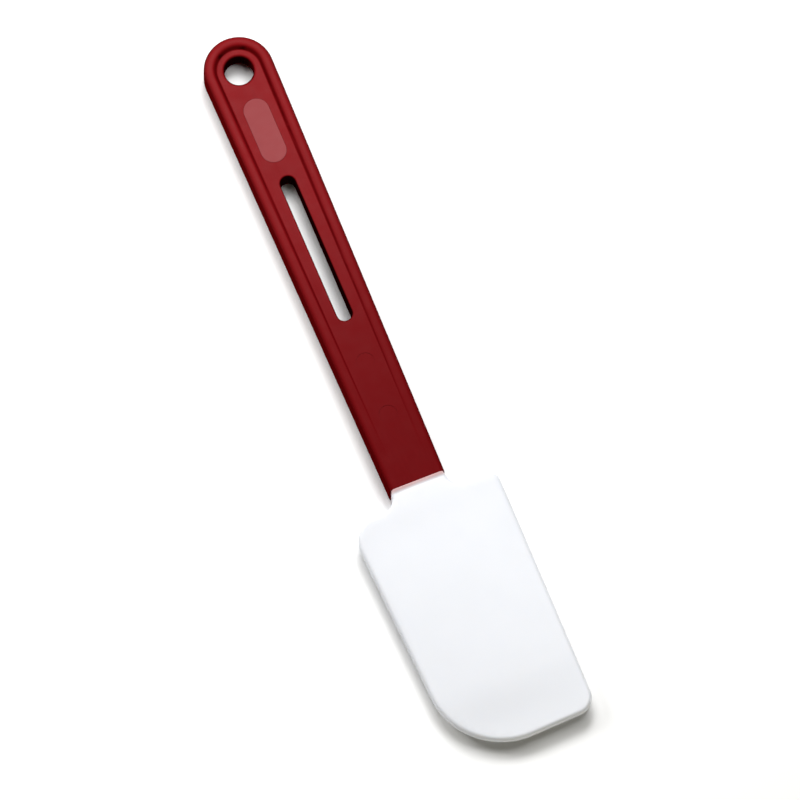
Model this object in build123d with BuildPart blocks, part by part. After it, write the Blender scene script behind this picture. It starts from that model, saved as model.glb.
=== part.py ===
"""Silicone spatula: a moulded nylon handle with a tongue, and a silicone blade cast over the tongue.

Millimetres. The origin is at the middle of the overall box, on the surface that the spatula lies on.
+Y runs along the handle to the hang hole, -Y to the blade's tip, and +Z is up.
"""

from build123d import *
from math import atan2, cos, pi, sin, tan
import os

os.makedirs("parts", exist_ok=True)

# Overall sizes
overall_length = 343.0
blade_length = 124.0
blade_width = 68.0
handle_thickness = 14.0
hang_end_width = 30.6
neck_width = 25.5

# Handle edges, hang hole and finger slot
handle_edge_radius = 2.4
hang_hole_diameter = 12.7
hang_hole_edge_radius = 1.4
slot_width = 6.8
slot_length = 71.4
slot_edge_radius = 0.7
hang_hole_to_slot = 52.95

# Recessed panel in each face of the handle: level round the hang hole, then rising to the rim at the neck. Its wall is
# an S with a wide round crest and a tight foot, which makes the rim a rolled bead
rim_width = 5.1
recess_depth = 2.4
recess_foot_run = 1.0
recess_crest_run = 2.1
recess_wall_overlap = 0.15
recess_level_run = 11.0
recess_fade_depth = 0.05
recess_to_neck = 11.0

# How much of the wall's runs is left at the neck, as a share
recess_fade_share = 0.35

# Oval pad in the front panel, and two round ejector marks between the slot and the neck
label_length = 31.0
label_width = 11.4
label_thickness = 0.7
label_pocket_depth = 0.6
label_clearance = 0.1
hang_hole_to_label = 29.95
ejector_mark_diameter = 8.0
ejector_mark_depth = 0.15
slot_to_ejector_mark = 20.6
ejector_mark_spacing = 26.0

# Tongue of the handle, hidden in the blade
tongue_length = 94.0
tongue_root_width = 16.0
tongue_width = 31.0
tongue_root_thickness = 8.0
tongue_tip_thickness = 4.0
tongue_edge_chamfer = 0.6
lock_hole_diameter = 7.0
lock_hole_spacing = 20.0
lock_hole_count = 3

# Blade outline, seen from above with the tip at the bottom
neck_inset = 0.75
neck_length = 7.8
neck_flare_radius = 7.0
left_edge_draw_in = 4.7
right_edge_draw_in = 0.5
tip_slant = 2.7
large_corner_radius = 33.0
small_corner_radius = 8.0

# Shoulder radii, as shares of the room between the neck's flare and the blade's side
left_shoulder_share = 0.73
right_shoulder_share = 0.23

# Blade thickness
neck_step = 0.35
collar_step = 0.1
collar_length = 0.9
blade_side_thickness = 5.0
blade_tip_thickness = 4.0
blade_edge_chamfer = 1.1

# How the blade thins from the neck to the tip. Each row is a place as a share of the blade's length, the crown there
# as a share of the way from the tip's thickness to the neck's, and the sides as a share from the tip's to the sides'
blade_section_shares = (
    (-0.10, 1.02, 1.0),
    (0.065, 0.90, 1.0),
    (0.17, 0.75, 1.0),
    (0.45, 0.58, 0.8),
    (0.70, 0.45, 0.6),
    (0.80, 0.37, 0.5),
    (0.92, 0.11, 0.1),
    (1.04, 0.03, 0.0),
)

# Overrun of every cut past the faces that it goes through
cut_overrun = 5.0

# Places along the spatula
top_y = overall_length / 2
tip_y = -overall_length / 2
hang_y = top_y - hang_end_width / 2
neck_y = tip_y + blade_length
mid_z = handle_thickness / 2
slot_y = hang_y - hang_hole_to_slot - slot_length / 2
rise_start_y = hang_y - recess_level_run
rise_end_y = neck_y + recess_to_neck


def recess_half_width(y):
    """Half the recess's width at the steepest line of its wall, at a place between the hang end and the neck."""
    share = (hang_y - y) / (hang_y - neck_y)
    handle_half_width = hang_end_width / 2 + share * (neck_width - hang_end_width) / 2
    return handle_half_width - rim_width


def across(y, z):
    """The plane across the spatula at a place along it, with its own origin at a height."""
    return Plane(origin=(0, y, z), x_dir=(1, 0, 0), z_dir=(0, -1, 0))


def draw_recess_half(half_width, depth, run_share):
    """Right half of the recess in a plane across the handle: a flat floor and an S-shaped wall up to the rim."""
    foot = half_width - run_share * recess_foot_run
    crest = half_width + run_share * recess_crest_run
    overlap = run_share * recess_wall_overlap
    Line((0, -depth), (foot, -depth))
    Bezier((foot, -depth), (half_width + overlap, -depth), (half_width - overlap, 0), (crest, 0))
    return crest


# Recess of the upper face, as the solid to be cut out: a turned round end, a level run and a rising run
with BuildPart() as recess:
    with BuildSketch(across(hang_y, handle_thickness)):
        with BuildLine():
            crest_x = draw_recess_half(recess_half_width(hang_y), recess_depth, 1)
            Line((crest_x, 0), (0, 0))
            Line((0, 0), (0, -recess_depth))
        make_face()
    revolve(axis=Axis((0, hang_y, 0), (0, 0, 1)), revolution_arc=180)
    for run in (
        ((hang_y, recess_depth, 1), (rise_start_y, recess_depth, 1)),
        ((rise_start_y, recess_depth, 1), (rise_end_y, recess_fade_depth, recess_fade_share)),
    ):
        for station_y, depth, run_share in run:
            with BuildSketch(across(station_y, handle_thickness)):
                with BuildLine():
                    crest_x = draw_recess_half(recess_half_width(station_y), depth, run_share)
                    mirror(about=Plane.YZ)
                    Line((crest_x, 0), (-crest_x, 0))
                make_face()
        loft(ruled=True)

# Plane of the rising floor in the front face, with its own +Y towards the hang hole
floor_rise = recess_depth - recess_fade_depth
floor_run = rise_start_y - rise_end_y
rising_floor = Plane(
    origin=(0, rise_start_y, handle_thickness - recess_depth),
    x_dir=(1, 0, 0),
    z_dir=(0, floor_rise, floor_run),
)
label_place = (0, recess_level_run - hang_hole_to_label)
first_mark_place = (0, slot_y - slot_length / 2 - slot_to_ejector_mark - rise_start_y)

# Tongue: a flat paddle that flares past the neck, thins towards its round end and has lock holes
tongue_tip_y = neck_y - tongue_length
tongue_end_centre_y = tongue_tip_y + tongue_width / 2

with BuildPart() as tongue:
    with BuildSketch():
        with BuildLine():
            FilletPolyline(
                (tongue_root_width / 2, neck_y + cut_overrun),
                (tongue_root_width / 2, neck_y - neck_length / 2),
                (tongue_width / 2, neck_y - neck_length - neck_flare_radius),
                (tongue_width / 2, tongue_end_centre_y),
                radius=neck_flare_radius,
            )
            mirror(about=Plane.YZ)
            ThreePointArc(
                (tongue_width / 2, tongue_end_centre_y),
                (0, tongue_tip_y),
                (-tongue_width / 2, tongue_end_centre_y),
            )
            Line((-tongue_root_width / 2, neck_y + cut_overrun), (tongue_root_width / 2, neck_y + cut_overrun))
        make_face()
    extrude(amount=handle_thickness)
    with BuildSketch(Plane.YZ.offset(-tongue_width / 2)):
        with BuildLine():
            Polyline(
                (neck_y + cut_overrun, mid_z + tongue_root_thickness / 2),
                (neck_y, mid_z + tongue_root_thickness / 2),
                (tongue_tip_y, mid_z + tongue_tip_thickness / 2),
                (tongue_tip_y, mid_z - tongue_tip_thickness / 2),
                (neck_y, mid_z - tongue_root_thickness / 2),
                (neck_y + cut_overrun, mid_z - tongue_root_thickness / 2),
                close=True,
            )
        make_face()
    extrude(amount=tongue_width, mode=Mode.INTERSECT)
    long_edges = tongue.edges().filter_by(Axis.Z, reverse=True).filter_by(Axis.X, reverse=True)
    chamfer(long_edges, tongue_edge_chamfer)
    with Locations(*[(0, tongue_end_centre_y + step * lock_hole_spacing, mid_z) for step in range(lock_hole_count)]):
        Cylinder(lock_hole_diameter / 2, handle_thickness, mode=Mode.SUBTRACT)

# Handle: a bar with rounded edges, a recess in each face, the hang hole, the slot, the pad's pocket and the tongue
with BuildPart() as handle:
    with BuildSketch():
        with BuildLine():
            end_circle = CenterArc((0, hang_y), hang_end_width / 2, 0, 360, mode=Mode.PRIVATE)
            side = ConstrainedLines(
                end_circle, (neck_width / 2, neck_y), selector=lambda lines: lines.sort_by(Axis.X)[-1]
            )
            side_top = side.vertices().sort_by(Axis.Y)[-1]
            mirror(about=Plane.YZ)
            ThreePointArc((side_top.X, side_top.Y), (0, top_y), (-side_top.X, side_top.Y))
            Line((-neck_width / 2, neck_y), (neck_width / 2, neck_y))
        make_face()
    extrude(amount=handle_thickness)
    outer_edges = handle.edges().filter_by(Axis.Z, reverse=True).filter_by(Axis.X, reverse=True)
    fillet(outer_edges, handle_edge_radius)
    add(recess.part, mode=Mode.SUBTRACT)
    mirror(recess.part, about=Plane.XY.offset(mid_z), mode=Mode.SUBTRACT)
    with Locations((0, hang_y, mid_z)):
        Cylinder(hang_hole_diameter / 2, handle_thickness, mode=Mode.SUBTRACT)
    fillet(handle.edges(Select.LAST).filter_by(GeomType.CIRCLE), hang_hole_edge_radius)
    with BuildSketch():
        with Locations((0, slot_y)):
            SlotOverall(slot_length, slot_width, rotation=90)
    extrude(amount=handle_thickness, mode=Mode.SUBTRACT)
    fillet(handle.edges(Select.LAST).filter_by(Axis.Z, reverse=True), slot_edge_radius)
    with BuildSketch(rising_floor):
        with Locations(label_place):
            SlotOverall(label_length, label_width, rotation=90)
    extrude(amount=-label_pocket_depth, mode=Mode.SUBTRACT)
    with BuildSketch(rising_floor):
        with Locations(first_mark_place):
            with GridLocations(0, ejector_mark_spacing, 1, 2, align=(Align.CENTER, Align.MAX)):
                Circle(ejector_mark_diameter / 2)
    extrude(amount=-ejector_mark_depth, mode=Mode.SUBTRACT)
    add(tongue.part)

# Pad: a thin stadium that stands a little proud of its pocket
with BuildPart() as label_inlay:
    with BuildSketch(rising_floor.offset(-label_pocket_depth)):
        with Locations(label_place):
            SlotOverall(label_length - 2 * label_clearance, label_width - 2 * label_clearance, rotation=90)
    extrude(amount=label_thickness)

# Blade: a crowned body lofted from the neck to the tip, trimmed to its outline, with a collar at the handle's end
neck_thickness = handle_thickness - 2 * neck_step
section_half_width = blade_width / 2 + cut_overrun
neck_half_width = neck_width / 2 - neck_inset
shoulder_y = neck_y - neck_length
shoulder_room = blade_width / 2 - neck_half_width - neck_flare_radius
left_shoulder_radius = left_shoulder_share * shoulder_room
right_shoulder_radius = right_shoulder_share * shoulder_room
left_edge_lean = atan2(left_edge_draw_in, blade_length - neck_length)
left_corner_x = -blade_width / 2 - left_shoulder_radius * ((1 + sin(left_edge_lean)) / cos(left_edge_lean) - 1)
tip_right_x = blade_width / 2 - right_edge_draw_in
tip_left_x = left_corner_x + left_edge_draw_in
tip_lean = atan2(tip_slant, tip_right_x - tip_left_x)
large_corner_reach = large_corner_radius * tan((pi / 2 - left_edge_lean + tip_lean) / 2)
tip_left_y = tip_y - large_corner_reach * sin(tip_lean) + large_corner_radius * (1 - cos(tip_lean))

with BuildPart() as blade:
    for place_share, crown_share, side_share in blade_section_shares:
        crown_z = (blade_tip_thickness + crown_share * (neck_thickness - blade_tip_thickness)) / 2
        side_z = (blade_tip_thickness + side_share * (blade_side_thickness - blade_tip_thickness)) / 2
        with BuildSketch(across(neck_y - place_share * blade_length, mid_z)):
            with BuildLine():
                ThreePointArc((-section_half_width, side_z), (0, crown_z), (section_half_width, side_z))
                Line((section_half_width, side_z), (section_half_width, -side_z))
                ThreePointArc((section_half_width, -side_z), (0, -crown_z), (-section_half_width, -side_z))
                Line((-section_half_width, -side_z), (-section_half_width, side_z))
            make_face()
    loft()
    with BuildSketch():
        with BuildLine():
            FilletPolyline(
                (neck_half_width, neck_y + cut_overrun),
                (neck_half_width, shoulder_y),
                (blade_width / 2, shoulder_y),
                (tip_right_x, tip_left_y + tip_slant),
                (tip_left_x, tip_left_y),
                (left_corner_x, shoulder_y),
                (-neck_half_width, shoulder_y),
                (-neck_half_width, neck_y + cut_overrun),
                radius=[
                    0,
                    neck_flare_radius,
                    right_shoulder_radius,
                    small_corner_radius,
                    large_corner_radius,
                    left_shoulder_radius,
                    neck_flare_radius,
                    0,
                ],
                close=True,
            )
        make_face()
    extrude(amount=handle_thickness, mode=Mode.INTERSECT)
    rim_groups = blade.edges().filter_by(Axis.Z, reverse=True).group_by(Axis.Y)[:-1]
    chamfer([edge for group in rim_groups for edge in group], blade_edge_chamfer)
    split(bisect_by=across(neck_y, mid_z), keep=Keep.TOP)
    with BuildSketch(across(neck_y, mid_z)):
        RectangleRounded(2 * neck_half_width, handle_thickness - 2 * collar_step, handle_edge_radius)
    extrude(amount=collar_length)
    add(tongue.part, mode=Mode.SUBTRACT)

for name, piece in (("handle", handle), ("blade", blade), ("label_inlay", label_inlay)):
    piece.part.label = name
    export_step(piece.part, f"parts/{name}.step")
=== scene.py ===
"""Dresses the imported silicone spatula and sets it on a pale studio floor, seen as in the photograph."""

import logging
from dataclasses import dataclass
from enum import Enum
from math import atan2, cos, pi, radians, sin, tan

import bmesh
import bpy
from mathutils import Matrix, Vector


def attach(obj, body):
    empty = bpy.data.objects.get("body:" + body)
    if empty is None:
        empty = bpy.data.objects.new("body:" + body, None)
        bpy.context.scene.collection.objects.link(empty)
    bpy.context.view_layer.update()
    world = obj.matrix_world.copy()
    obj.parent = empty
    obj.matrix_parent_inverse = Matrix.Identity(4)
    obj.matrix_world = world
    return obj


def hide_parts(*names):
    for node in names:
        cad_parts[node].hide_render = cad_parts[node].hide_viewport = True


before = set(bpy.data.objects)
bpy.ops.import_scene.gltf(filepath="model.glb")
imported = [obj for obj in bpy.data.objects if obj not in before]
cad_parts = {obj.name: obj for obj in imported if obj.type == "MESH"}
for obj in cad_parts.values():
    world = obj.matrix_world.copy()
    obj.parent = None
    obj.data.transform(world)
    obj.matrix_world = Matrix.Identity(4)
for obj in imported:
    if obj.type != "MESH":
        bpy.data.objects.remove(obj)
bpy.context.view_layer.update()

log = logging.getLogger("spatula")

MM = 0.001

# How much of a face's normal points up or down, on the walls and on flat faces
WALL_FACING = 0.45
FLAT_FACING = 0.97


class NodeName(Enum):
    """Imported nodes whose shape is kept."""

    HANDLE = "handle"
    PAD = "label_inlay"


class SlotName(Enum):
    """A material slot name, not used by the code below."""

    SILICONE = "blade_silicone"


@dataclass(frozen=True)
class Grain:
    """One noise: its spots' size in metres, its finer layers, and how much finer it is along each axis."""

    size: float
    detail: float
    stretch: tuple[float, float, float] = (1, 1, 1)


@dataclass(frozen=True)
class Relief:
    """One bump: its noise, how deep a height of 1 is in metres, and its strength."""

    grain: Grain
    depth: float
    strength: float


class Recipe:
    """The nodes of one material, with short calls to add and join them."""

    def __init__(self, name: str) -> None:
        """Start an empty material.

        Args:
            name: the material's name.
        """
        self.material = bpy.data.materials.new(name)
        self.material.use_nodes = True
        self.tree = self.material.node_tree
        self.tree.nodes.clear()
        output = self.add("ShaderNodeOutputMaterial")
        self.shader = self.add("ShaderNodeBsdfPrincipled")
        self.join(self.shader.outputs["BSDF"], output.inputs["Surface"])
        coordinates = self.add("ShaderNodeTexCoord")
        self.place = coordinates.outputs["Object"]
        self.facing = coordinates.outputs["Normal"]

    def add(self, kind: str, **settings: object) -> bpy.types.Node:
        """Add a node.

        Args:
            kind: the node's Blender type.
            **settings: properties of the node to set.

        Returns:
            The new node.
        """
        node = self.tree.nodes.new(kind)
        for key, value in settings.items():
            setattr(node, key, value)
        return node

    def join(self, source: bpy.types.NodeSocket, target: bpy.types.NodeSocket) -> None:
        """Link an output to an input.

        Args:
            source: the output socket.
            target: the input socket.
        """
        self.tree.links.new(source, target)

    def set(self, **values: object) -> None:
        """Set the shader's own sockets.

        Args:
            **values: socket names with underscores for spaces, and their values.
        """
        for key, value in values.items():
            self.shader.inputs[key.replace("_", " ")].default_value = value

    def noise(self, grain: Grain):
        """Noise on the object's own coordinates.

        Args:
            grain: the noise's spots.

        Returns:
            The noise's value socket.
        """
        mapping = self.add("ShaderNodeMapping")
        mapping.inputs["Scale"].default_value = grain.stretch
        self.join(self.place, mapping.inputs["Vector"])
        noise = self.add("ShaderNodeTexNoise")
        noise.inputs["Scale"].default_value = 1 / grain.size
        noise.inputs["Detail"].default_value = grain.detail
        self.join(mapping.outputs["Vector"], noise.inputs["Vector"])
        return noise.outputs["Fac"]

    def span(
        self, value, low: float, high: float, start: float = 0.3, end: float = 0.7, smooth: bool = False
    ):
        """Map a value onto a span, clamped at its ends.

        Args:
            value: the socket to map.
            low: the result at the start.
            high: the result at the end.
            start: the value that gives the low result.
            end: the value that gives the high result.
            smooth: whether the result eases in and out.

        Returns:
            The mapped socket.
        """
        node = self.add("ShaderNodeMapRange", interpolation_type="SMOOTHSTEP" if smooth else "LINEAR")
        self.join(value, node.inputs["Value"])
        for key, number in (("From Min", start), ("From Max", end), ("To Min", low), ("To Max", high)):
            node.inputs[key].default_value = number
        return node.outputs["Result"]

    def blend(self, share: bpy.types.NodeSocket, first: object, second: object):
        """Mix two colours, each given as a colour or a socket.

        Args:
            share: how much of the second colour there is.
            first: the colour where the share is 0.
            second: the colour where the share is 1.

        Returns:
            The mixed colour's socket.
        """
        node = self.add("ShaderNodeMix", data_type="RGBA")
        self.join(share, node.inputs[0])
        for socket, colour in ((node.inputs[6], first), (node.inputs[7], second)):
            if isinstance(colour, bpy.types.NodeSocket):
                self.join(colour, socket)
            else:
                socket.default_value = (*colour, 1)
        return node.outputs[2]

    def product(self, first: bpy.types.NodeSocket, second: bpy.types.NodeSocket):
        """Multiply two values.

        Args:
            first: one value's socket.
            second: the other's.

        Returns:
            The product's socket.
        """
        node = self.add("ShaderNodeMath", operation="MULTIPLY")
        self.join(first, node.inputs[0])
        self.join(second, node.inputs[1])
        return node.outputs[0]

    def along(self, source: bpy.types.NodeSocket, axis: str):
        """Take one axis of a vector.

        Args:
            source: the vector's socket.
            axis: X, Y or Z.

        Returns:
            The result's socket.
        """
        parts = self.add("ShaderNodeSeparateXYZ")
        self.join(source, parts.inputs[0])
        return parts.outputs[axis]

    def size(self, source: bpy.types.NodeSocket, axis: str):
        """Take one axis of a vector, without its sign.

        Args:
            source: the vector's socket.
            axis: X, Y or Z.

        Returns:
            The result's socket.
        """
        size = self.add("ShaderNodeMath", operation="ABSOLUTE")
        self.join(self.along(source, axis), size.inputs[0])
        return size.outputs[0]

    def flatness(self, low: float, high: float):
        """Tell faces that lie flat from the side walls.

        Args:
            low: the result on the side walls.
            high: the result on flat faces, front or back.

        Returns:
            The result's socket.
        """
        return self.span(self.size(self.facing, "Z"), low, high, WALL_FACING, FLAT_FACING)

    def bump(self, relief: Relief, under=None):
        """Add a bump.

        Args:
            relief: the bump's noise, depth and strength.
            under: the normal of a bump below this one, if any.

        Returns:
            The bumped normal's socket.
        """
        node = self.add("ShaderNodeBump")
        node.inputs["Distance"].default_value = relief.depth
        node.inputs["Strength"].default_value = relief.strength
        self.join(self.noise(relief.grain), node.inputs["Height"])
        if under is not None:
            self.join(under, node.inputs["Normal"])
        return node.outputs["Normal"]

    def finish(self, colour, roughness, normal) -> bpy.types.Material:
        """Join the three main results to the shader.

        Args:
            colour: the colour's socket.
            roughness: the roughness's socket.
            normal: the normal's socket.

        Returns:
            The finished material.
        """
        self.join(colour, self.shader.inputs["Base Color"])
        self.join(roughness, self.shader.inputs["Roughness"])
        self.join(normal, self.shader.inputs["Normal"])
        return self.material


@dataclass(frozen=True)
class NylonFinish:
    """Red glass-filled nylon with a satin skin, faint flow lines and rubbed rims, with painted light and
    shade: lighter towards the hang end, darker on the side walls and near black on the walls of the hang
    hole and the slot.
    """

    # Painted light: the red is lighter at the hang end and darker at the neck, a light falloff painted into
    # the colour.
    painted_lit_hang_red: tuple[float, float, float] = (0.192, 0.0036, 0.0058)
    painted_dim_neck_red: tuple[float, float, float] = (0.121, 0.0022, 0.0034)
    deep_red: tuple[float, float, float] = (0.105, 0.0012, 0.0020)
    # Painted shade: a darker red for the steep side walls.
    painted_shade_wall_red: tuple[float, float, float] = (0.085, 0.0010, 0.0016)
    rubbed_red: tuple[float, float, float] = (0.180, 0.0060, 0.0080)
    # Painted shade: near black for the walls of the hang hole and the slot.
    painted_shade_inner_red: tuple[float, float, float] = (0.016, 0.0003, 0.0004)
    inner_half_width: float = 5.5 * MM
    inner_side_fade: float = 1.5 * MM
    inner_end_y: float = 165 * MM
    inner_end_fade: float = 1 * MM
    hang_y: float = 150 * MM
    neck_y: float = -45 * MM
    rim_height: float = 13.6 * MM
    rim_fade: float = 0.4 * MM
    refraction: float = 1.5
    smooth: float = 0.46
    rough: float = 0.56
    hang_shine: float = 0.067
    neck_shine: float = 0.020
    clouds: Grain = Grain(22 * MM, 3)
    cloud_share: float = 0.2
    flow: Grain = Grain(1.1 * MM, 3, (1, 0.06, 1))
    flow_share: float = 0.15
    flow_span: tuple[float, float] = (0.45, 0.8)
    scuffs: Grain = Grain(1.6 * MM, 4, (1, 0.3, 1))
    scuff_share: float = 0.12
    scuff_span: tuple[float, float] = (0.5, 0.7)
    patches: Grain = Grain(6 * MM, 4)
    skin: Relief = Relief(Grain(0.45 * MM, 2), 0.02 * MM, 0.35)
    waves: Relief = Relief(Grain(5 * MM, 1), 0.05 * MM, 0.25)

    def painted_shade_inner_walls(self, recipe: Recipe):
        """Find the walls of the hang hole and the slot, which take painted shade.

        Args:
            recipe: the material's recipe.

        Returns:
            The socket that is 1 on those walls.
        """
        across = recipe.size(recipe.place, "X")
        side = self.inner_half_width
        middle = recipe.span(across, 1, 0, side, side + self.inner_side_fade)
        y = recipe.along(recipe.place, "Y")
        before_end = recipe.span(y, 1, 0, self.inner_end_y, self.inner_end_y + self.inner_end_fade)
        return recipe.product(recipe.product(middle, before_end), recipe.flatness(1, 0))

    def material(self) -> bpy.types.Material:
        """Build the material.

        Returns:
            The nylon's material.
        """
        recipe = Recipe("red_nylon")
        recipe.set(IOR=self.refraction)
        y = recipe.along(recipe.place, "Y")
        toward_hang = recipe.span(y, 0, 1, self.neck_y, self.hang_y, smooth=True)
        flatness = recipe.flatness(0, 1)
        shine = recipe.span(toward_hang, self.neck_shine, self.hang_shine, 0, 1)
        recipe.join(recipe.product(flatness, shine), recipe.shader.inputs["Specular IOR Level"])
        # Painted light: the red goes from darker at the neck to lighter at the hang end.
        colour = recipe.blend(toward_hang, self.painted_dim_neck_red, self.painted_lit_hang_red)
        clouds = recipe.span(recipe.noise(self.clouds), 0, self.cloud_share)
        colour = recipe.blend(clouds, colour, self.deep_red)
        flow = recipe.span(recipe.noise(self.flow), 0, self.flow_share, *self.flow_span)
        colour = recipe.blend(flow, colour, self.deep_red)
        z = recipe.along(recipe.place, "Z")
        near_rim = recipe.span(z, 0, 1, self.rim_height, self.rim_height + self.rim_fade)
        scuffs = recipe.span(recipe.noise(self.scuffs), 0, self.scuff_share, *self.scuff_span)
        colour = recipe.blend(recipe.product(near_rim, scuffs), colour, self.rubbed_red)
        # Painted shade: the steep side walls get a darker red than the flat faces.
        colour = recipe.blend(flatness, self.painted_shade_wall_red, colour)
        # Painted shade: the walls of the hang hole and the slot are made near black.
        colour = recipe.blend(self.painted_shade_inner_walls(recipe), colour, self.painted_shade_inner_red)
        roughness = recipe.span(recipe.noise(self.patches), self.smooth, self.rough)
        return recipe.finish(colour, roughness, recipe.bump(self.waves, recipe.bump(self.skin)))


@dataclass(frozen=True)
class SiliconeFinish:
    """White silicone with a fine moulded skin, turning pink over the last few millimetres before the handle.
    """

    white: tuple[float, float, float] = (0.730, 0.743, 0.780)
    cool_white: tuple[float, float, float] = (0.712, 0.727, 0.765)
    pink: tuple[float, float, float] = (0.735, 0.450, 0.455)
    pink_start_y: float = -49.8 * MM
    pink_end_y: float = -47.5 * MM
    refraction: float = 1.42
    smooth: float = 0.34
    rough: float = 0.44
    milkiness: float = 0.35
    milk_depth: float = 1.5 * MM
    milk_reach: tuple[float, float, float] = (1.0, 0.9, 0.8)
    clouds: Grain = Grain(30 * MM, 3)
    patches: Grain = Grain(8 * MM, 3)
    skin: Relief = Relief(Grain(0.35 * MM, 2), 0.012 * MM, 0.3)

    def material(self) -> bpy.types.Material:
        """Build the material.

        Returns:
            The silicone's material.
        """
        recipe = Recipe("white_silicone")
        recipe.set(IOR=self.refraction, Subsurface_Weight=self.milkiness)
        recipe.set(Subsurface_Scale=self.milk_depth, Subsurface_Radius=self.milk_reach)
        clouds = recipe.span(recipe.noise(self.clouds), 0, 1)
        colour = recipe.blend(clouds, self.white, self.cool_white)
        y = recipe.along(recipe.place, "Y")
        near_handle = recipe.span(y, 0, 1, self.pink_start_y, self.pink_end_y, smooth=True)
        colour = recipe.blend(near_handle, colour, self.pink)
        roughness = recipe.span(recipe.noise(self.patches), self.smooth, self.rough)
        return recipe.finish(colour, roughness, recipe.bump(self.skin))


@dataclass(frozen=True)
class PadFinish:
    """Paler red, matt face of the oval pad."""

    face: tuple[float, float, float] = (0.245, 0.045, 0.048)
    shade: tuple[float, float, float] = (0.232, 0.041, 0.044)
    refraction: float = 1.45
    shine: float = 0.08
    smooth: float = 0.5
    rough: float = 0.62
    clouds: Grain = Grain(9 * MM, 3)
    patches: Grain = Grain(3 * MM, 3)
    skin: Relief = Relief(Grain(0.3 * MM, 2), 0.02 * MM, 0.4)

    def material(self) -> bpy.types.Material:
        """Build the material.

        Returns:
            The pad's material.
        """
        recipe = Recipe("pale_red_pad")
        recipe.set(IOR=self.refraction, Specular_IOR_Level=self.shine)
        colour = recipe.blend(recipe.span(recipe.noise(self.clouds), 0, 1), self.shade, self.face)
        roughness = recipe.span(recipe.noise(self.patches), self.smooth, self.rough)
        return recipe.finish(colour, roughness, recipe.bump(self.skin))


@dataclass(frozen=True)
class FloorFinish:
    """Plain pale sheet that the spatula lies on."""

    white: tuple[float, float, float] = (0.97, 0.97, 0.97)
    roughness: float = 0.9
    shine: float = 0.1

    def material(self) -> bpy.types.Material:
        """Build the material.

        Returns:
            The floor's material.
        """
        recipe = Recipe("pale_floor")
        recipe.set(Base_Color=(*self.white, 1), Roughness=self.roughness, Specular_IOR_Level=self.shine)
        return recipe.material


def put_in_scene(name: str, sheet: bmesh.types.BMesh, material: bpy.types.Material) -> bpy.types.Object:
    """Turn a bmesh into a smooth shaded object at the origin.

    Args:
        name: the object's name.
        sheet: the bmesh, which is freed.
        material: the object's one material.

    Returns:
        The new object.
    """
    mesh = bpy.data.meshes.new(name)
    sheet.to_mesh(mesh)
    sheet.free()
    mesh.materials.append(material)
    piece = bpy.data.objects.new(name, mesh)
    bpy.context.scene.collection.objects.link(piece)
    return piece


def dress_packed(name: NodeName, material: bpy.types.Material) -> bpy.types.Object:
    """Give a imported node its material.

    Args:
        name: the node.
        material: the material that takes the place of its own.

    Returns:
        The node's object.
    """
    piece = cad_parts[name.value]
    piece.data.materials.clear()
    piece.data.materials.append(material)
    return piece


@dataclass
class Handle:
    """The red moulding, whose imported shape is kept."""

    finish: NylonFinish = NylonFinish()

    def dress(self) -> list[bpy.types.Object]:
        """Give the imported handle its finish.

        Returns:
            The handle's objects.
        """
        return [dress_packed(NodeName.HANDLE, self.finish.material())]


@dataclass
class Pad:
    """The oval pad in the handle's front panel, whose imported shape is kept."""

    finish: PadFinish = PadFinish()

    def dress(self) -> list[bpy.types.Object]:
        """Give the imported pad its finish.

        Returns:
            The pad's objects.
        """
        return [dress_packed(NodeName.PAD, self.finish.material())]


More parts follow.
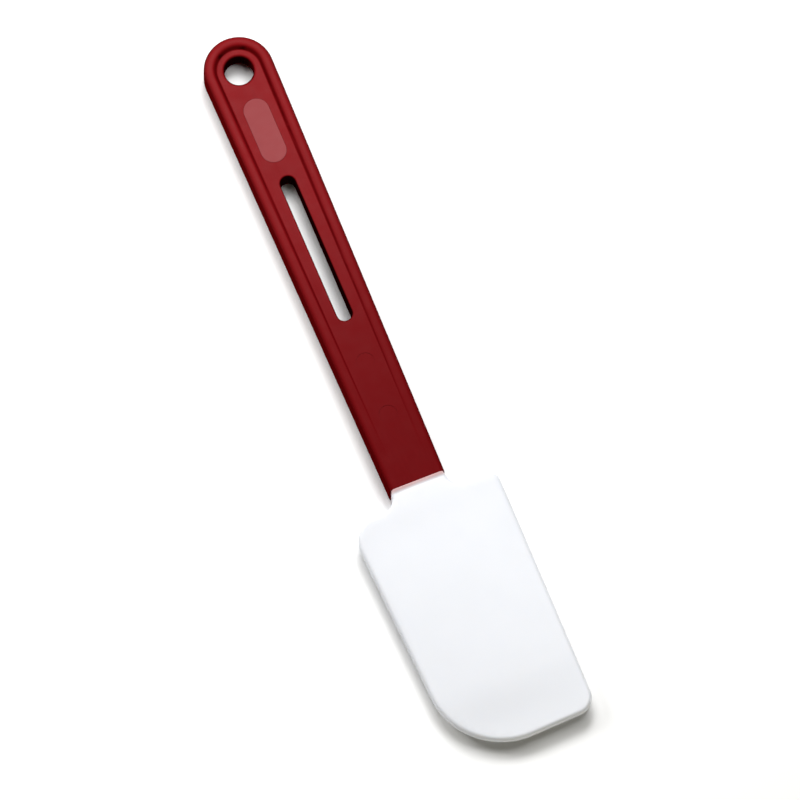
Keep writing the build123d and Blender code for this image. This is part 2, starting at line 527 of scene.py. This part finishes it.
@dataclass
class Blade:
    """The silicone blade, with a rolled edge, a fine line round its side and a collar at the handle."""

    neck_y: float = -47.5 * MM
    length: float = 124 * MM
    width: float = 68 * MM
    middle_height: float = 7 * MM
    neck_half_width: float = 12.4 * MM
    neck_length: float = 7.8 * MM
    flare_radius: float = 7 * MM
    left_draw_in: float = 4.7 * MM
    right_draw_in: float = 0.5 * MM
    tip_slant: float = 2.7 * MM
    left_shoulder_radius: float = 10.95 * MM
    right_shoulder_radius: float = 3.45 * MM
    large_corner_radius: float = 33 * MM
    small_corner_radius: float = 8 * MM
    neck_thickness: float = 13.3 * MM
    side_thickness: float = 5 * MM
    tip_thickness: float = 4 * MM
    crown_half_width: float = 39 * MM
    edge_radius: float = 1.5 * MM
    edge_steps: int = 6
    draft: float = 0.08 * MM
    mesh_step: float = 2.5 * MM
    arc_step: float = 1 * MM
    least_arc_steps: int = 5
    snap: float = 0.02 * MM
    weld: float = 0.01 * MM
    crease_angle: float = 38.0
    collar_length: float = 3.2 * MM
    collar_end_height: float = 6.94 * MM
    collar_hollow: float = 0.3 * MM
    collar_draw_in: float = 0.7 * MM
    collar_steps: int = 12
    overrun: float = 6 * MM
    stations: tuple[tuple[float, float, float], ...] = (
        (-0.10, 1.02, 1.0),
        (0.065, 0.90, 1.0),
        (0.17, 0.75, 1.0),
        (0.45, 0.58, 0.8),
        (0.70, 0.45, 0.6),
        (0.80, 0.37, 0.5),
        (0.92, 0.11, 0.1),
        (1.04, 0.03, 0.0),
    )
    finish: SiliconeFinish = SiliconeFinish()

    def corners(self) -> list[tuple[float, float, float]]:
        """Corners of the outline, going round from the neck's right side.

        Returns:
            Each corner's x, y and radius.
        """
        shoulder_y = self.neck_y - self.neck_length
        tip_y = self.neck_y - self.length
        half = self.width / 2
        lean = atan2(self.left_draw_in, self.length - self.neck_length)
        left_x = -half - self.left_shoulder_radius * ((1 + sin(lean)) / cos(lean) - 1)
        tip_right_x = half - self.right_draw_in
        tip_left_x = left_x + self.left_draw_in
        slant = atan2(self.tip_slant, tip_right_x - tip_left_x)
        reach = self.large_corner_radius * tan((pi / 2 - lean + slant) / 2)
        tip_left_y = tip_y - reach * sin(slant) + self.large_corner_radius * (1 - cos(slant))
        top_y = self.neck_y + self.overrun
        return [
            (self.neck_half_width, top_y, 0),
            (self.neck_half_width, shoulder_y, self.flare_radius),
            (half, shoulder_y, self.right_shoulder_radius),
            (tip_right_x, tip_left_y + self.tip_slant, self.small_corner_radius),
            (tip_left_x, tip_left_y, self.large_corner_radius),
            (left_x, shoulder_y, self.left_shoulder_radius),
            (-self.neck_half_width, shoulder_y, self.flare_radius),
            (-self.neck_half_width, top_y, 0),
        ]

    def draw_outline(self, sheet: bmesh.types.BMesh) -> bmesh.types.BMFace:
        """Draw the outline as one flat face with rounded corners.

        Args:
            sheet: the bmesh to draw in.

        Returns:
            The face.
        """
        corners = self.corners()
        verts = [sheet.verts.new((x, y, 0)) for x, y, _ in corners]
        sheet.faces.new(reversed(verts))
        for i, (x, y, radius) in enumerate(corners):
            if not radius:
                continue
            before = Vector(corners[i - 1][:2]) - Vector((x, y))
            after = Vector(corners[(i + 1) % len(corners)][:2]) - Vector((x, y))
            reach = radius / tan(before.angle(after) / 2)
            steps = max(self.least_arc_steps, round(radius / self.arc_step))
            bmesh.ops.bevel(
                sheet,
                geom=[verts[i]],
                offset=reach,
                offset_type="OFFSET",
                affect="VERTICES",
                segments=steps,
                profile=0.5,
                material=-1,
            )
        return sheet.faces[:][0]

    def share_at(self, y: float, column: int) -> float:
        """Smoothly follow one column of the stations' shares.

        Args:
            y: the place along the spatula.
            column: 1 for the crown's shares, 2 for the sides'.

        Returns:
            The share there.
        """
        place = (self.neck_y - y) / self.length
        rows = self.stations
        if place <= rows[0][0]:
            return rows[0][column]
        for i in range(len(rows) - 1):
            if place <= rows[i + 1][0]:
                break
        else:
            return rows[-1][column]

        def slope(k: int) -> float:
            """Slope of the curve at a station."""
            lower, upper = rows[max(k - 1, 0)], rows[min(k + 1, len(rows) - 1)]
            return (upper[column] - lower[column]) / (upper[0] - lower[0])

        gap = rows[i + 1][0] - rows[i][0]
        t = (place - rows[i][0]) / gap
        start, end = rows[i][column], rows[i + 1][column]
        return (
            (2 * t**3 - 3 * t**2 + 1) * start
            + (t**3 - 2 * t**2 + t) * gap * slope(i)
            + (3 * t**2 - 2 * t**3) * end
            + (t**3 - t**2) * gap * slope(i + 1)
        )

    def crown(self, x: float, y: float) -> float:
        """Height of the blade's face above its middle plane.

        Args:
            x: the place across the spatula.
            y: the place along it.

        Returns:
            The height.
        """
        middle = (self.tip_thickness + self.share_at(y, 1) * (self.neck_thickness - self.tip_thickness)) / 2
        side = (self.tip_thickness + self.share_at(y, 2) * (self.side_thickness - self.tip_thickness)) / 2
        return middle - (middle - side) * (x / self.crown_half_width) ** 2

    def model(self) -> bmesh.types.BMesh:
        """Model the blade from its flat outline.

        The outline gets its rolled edge as rings, then a fine grid, its crown, its mirror and the collar.

        Returns:
            The closed mesh.
        """
        sheet = bmesh.new()
        drop = sheet.verts.layers.float.new("drop")
        rise = sheet.verts.layers.float.new("rise")
        face = self.draw_outline(sheet)
        inset_so_far = 0.0
        for step in range(self.edge_steps + 1):
            angle = step / self.edge_steps * pi / 2
            inset = self.draft + self.edge_radius * (1 - cos(angle))
            bmesh.ops.inset_region(
                sheet, faces=[face], thickness=inset - inset_so_far, use_boundary=True, use_even_offset=True
            )
            inset_so_far = inset
            for vert in face.verts:
                vert[drop] = self.edge_radius * (1 - sin(angle))
                vert[rise] = 1.0
        low = Vector((-self.width / 2, self.neck_y - self.length, 0))
        columns = round(self.width / self.mesh_step)
        rows = round(self.length / self.mesh_step) + 2
        for axis, count in enumerate((columns, rows)):
            for k in range(1, count):
                place = low.copy()
                place[axis] += k * self.mesh_step
                normal = Vector((axis == 0, axis == 1, 0))
                geom = sheet.verts[:] + sheet.edges[:] + sheet.faces[:]
                bmesh.ops.bisect_plane(sheet, geom=geom, dist=self.snap, plane_co=place, plane_no=normal)
        for vert in sheet.verts:
            vert.co.z = vert[rise] * (self.crown(vert.co.x, vert.co.y) - vert[drop])
        geom = sheet.verts[:] + sheet.edges[:] + sheet.faces[:]
        bmesh.ops.bisect_plane(
            sheet,
            geom=geom,
            dist=self.weld,
            plane_co=(0, self.neck_y - self.collar_length, 0),
            plane_no=(0, 1, 0),
            clear_outer=True,
        )
        geom = sheet.verts[:] + sheet.edges[:] + sheet.faces[:]
        bmesh.ops.mirror(sheet, geom=geom, matrix=Matrix.Identity(4), merge_dist=self.weld, axis="Z")
        self.add_collar(sheet)
        bmesh.ops.remove_doubles(sheet, verts=sheet.verts[:], dist=self.weld / 2)
        bmesh.ops.recalc_face_normals(sheet, faces=sheet.faces[:])
        bmesh.ops.translate(sheet, verts=sheet.verts[:], vec=(0, 0, self.middle_height))
        for part in sheet.faces:
            part.smooth = True
        for edge in sheet.edges:
            edge.smooth = len(edge.link_faces) == 2 and edge.calc_face_angle() < radians(self.crease_angle)
        return sheet

    def collar_top(self, x: float, share: float) -> float:
        """Height of the collar's face above the middle plane.

        Args:
            x: the place across the spatula.
            share: how far along the collar, from 0 at its start to 1 at the handle.

        Returns:
            The height.
        """
        start = self.crown(x, self.neck_y - self.collar_length)
        rise = sin(share * pi / 2) ** 2
        return start + (self.collar_end_height - start) * rise - self.collar_hollow * sin(share * pi) ** 2

    def collar_side(self, share: float) -> float:
        """Half width of the collar.

        Args:
            share: how far along the collar, from 0 at its start to 1 at the handle.

        Returns:
            The half width.
        """
        return self.neck_half_width - self.collar_draw_in * sin(share * pi / 2) ** 2

    def add_collar(self, sheet: bmesh.types.BMesh) -> None:
        """Close the neck's open end with a soft hollow that rises to meet the handle's end.

        Args:
            sheet: the blade's mesh, open at the neck.
        """
        rim = [edge for edge in sheet.edges if edge.is_boundary]
        for step in range(self.collar_steps):
            before, share = step / self.collar_steps, (step + 1) / self.collar_steps
            made = bmesh.ops.extrude_edge_only(sheet, edges=rim)["geom"]
            verts = [part for part in made if isinstance(part, bmesh.types.BMVert)]
            for vert in verts:
                vert.co.z *= self.collar_top(vert.co.x, share) / self.collar_top(vert.co.x, before)
                vert.co.x *= self.collar_side(share) / self.collar_side(before)
            bmesh.ops.translate(sheet, verts=verts, vec=(0, self.collar_length / self.collar_steps, 0))
            rim = [part for part in made if isinstance(part, bmesh.types.BMEdge)]
        bmesh.ops.contextual_create(sheet, geom=rim)

    def dress(self) -> list[bpy.types.Object]:
        """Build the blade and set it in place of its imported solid.

        Returns:
            The blade's objects.
        """
        piece = put_in_scene("blade_silicone", self.model(), self.finish.material())
        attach(piece, "root")
        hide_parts("blade")
        return [piece]


@dataclass(frozen=True)
class Softbox:
    """One square soft light, placed by its bearing from the spatula's hang end and its height in degrees."""

    name: str
    height: float
    bearing: float
    power: float
    size: float = 0.40
    distance: float = 1.0
    colour: tuple[float, float, float] = (1.0, 1.0, 1.0)

    def away(self) -> Vector:
        """Direction from the spatula to the light.

        Returns:
            The direction, of length 1.
        """
        lift, turn = radians(self.height), radians(self.bearing)
        return Vector((cos(lift) * sin(turn), cos(lift) * cos(turn), sin(lift)))

    def hang(self) -> None:
        """Hang the light so that it faces the spatula."""
        lamp = bpy.data.lights.new(self.name, "AREA")
        lamp.shape = "SQUARE"
        lamp.size = self.size
        lamp.energy = self.power
        lamp.color = self.colour
        holder = bpy.data.objects.new(self.name, lamp)
        holder.location = self.away() * self.distance
        holder.rotation_mode = "QUATERNION"
        holder.rotation_quaternion = self.away().to_track_quat("Z", "Y")
        holder.visible_camera = False
        bpy.context.scene.collection.objects.link(holder)


@dataclass
class Studio:
    """Pale floor, soft lights and the camera."""

    azimuth: float = -22.2
    elevation: float = 70.5
    aim_right: float = 10.63 * MM
    aim_up: float = -2.37 * MM
    view_width: float = 345.0 * MM
    lens: float = 1300.0
    sensor: float = 36.0
    nearest_seen: float = 0.1
    farthest_seen: float = 100.0
    floor_half_width: float = 6.0
    ambient: float = 0.02
    warm: tuple[float, float, float] = (1.0, 0.95, 0.72)
    softboxes: tuple[Softbox, ...] = (
        Softbox("key_middle", 55, 0, 2.34, 0.35),
        Softbox("key_right", 55, 30, 5.19, 0.35),
        Softbox("key_left", 40, 315, 4.3, 0.40),
        Softbox("top_middle", 70, 0, 2.18, 0.35),
        Softbox("top_right", 70, 90, 2.55, 0.35),
        Softbox("low_front", 17, 180, 1.35, 0.40, colour=warm),
    )

    def lay_floor(self) -> None:
        """Lay the floor under the spatula."""
        sheet = bmesh.new()
        bmesh.ops.create_grid(sheet, x_segments=1, y_segments=1, size=self.floor_half_width)
        floor = put_in_scene("floor", sheet, FloorFinish().material())

    def light(self) -> None:
        """Set the even surroundings and the soft lights."""
        world = bpy.data.worlds.new("surroundings")
        world.use_nodes = True
        background = world.node_tree.nodes["Background"]
        background.inputs["Color"].default_value = (*self.warm, 1)
        background.inputs["Strength"].default_value = self.ambient
        bpy.context.scene.world = world
        for softbox in self.softboxes:
            softbox.hang()
        bpy.context.scene.view_settings.view_transform = "Standard"
        bpy.context.scene.view_settings.look = "None"

    def aim_camera(self) -> None:
        """Set the camera at the photograph's angle."""
        turn, lift = radians(self.azimuth), radians(self.elevation)
        back = Vector((sin(turn) * cos(lift), -cos(turn) * cos(lift), sin(lift)))
        camera = bpy.data.cameras.new("camera")
        camera.lens = self.lens
        camera.sensor_width = self.sensor
        camera.clip_start = self.nearest_seen
        camera.clip_end = self.farthest_seen
        holder = bpy.data.objects.new("camera", camera)
        right = Vector((cos(turn), sin(turn), 0))
        target = right * self.aim_right + back.cross(right) * self.aim_up
        holder.location = target + back * (self.view_width * self.lens / self.sensor)
        holder.rotation_mode = "QUATERNION"
        holder.rotation_quaternion = back.to_track_quat("Z", "Y")
        bpy.context.scene.collection.objects.link(holder)
        bpy.context.scene.camera = holder

    def build(self) -> None:
        """Lay the floor, hang the lights and aim the camera."""
        self.lay_floor()
        self.light()
        self.aim_camera()


def main() -> None:
    """Build the spatula and its studio, and report each piece."""
    logging.basicConfig(level=logging.INFO, format="%(name)s: %(message)s")
    for part in (Handle(), Pad(), Blade()):
        for piece in part.dress():
            log.info("%s from %s: %d faces", piece.name, type(part).__name__, len(piece.data.polygons))
    Studio().build()


if __name__ == "__main__":
    main()
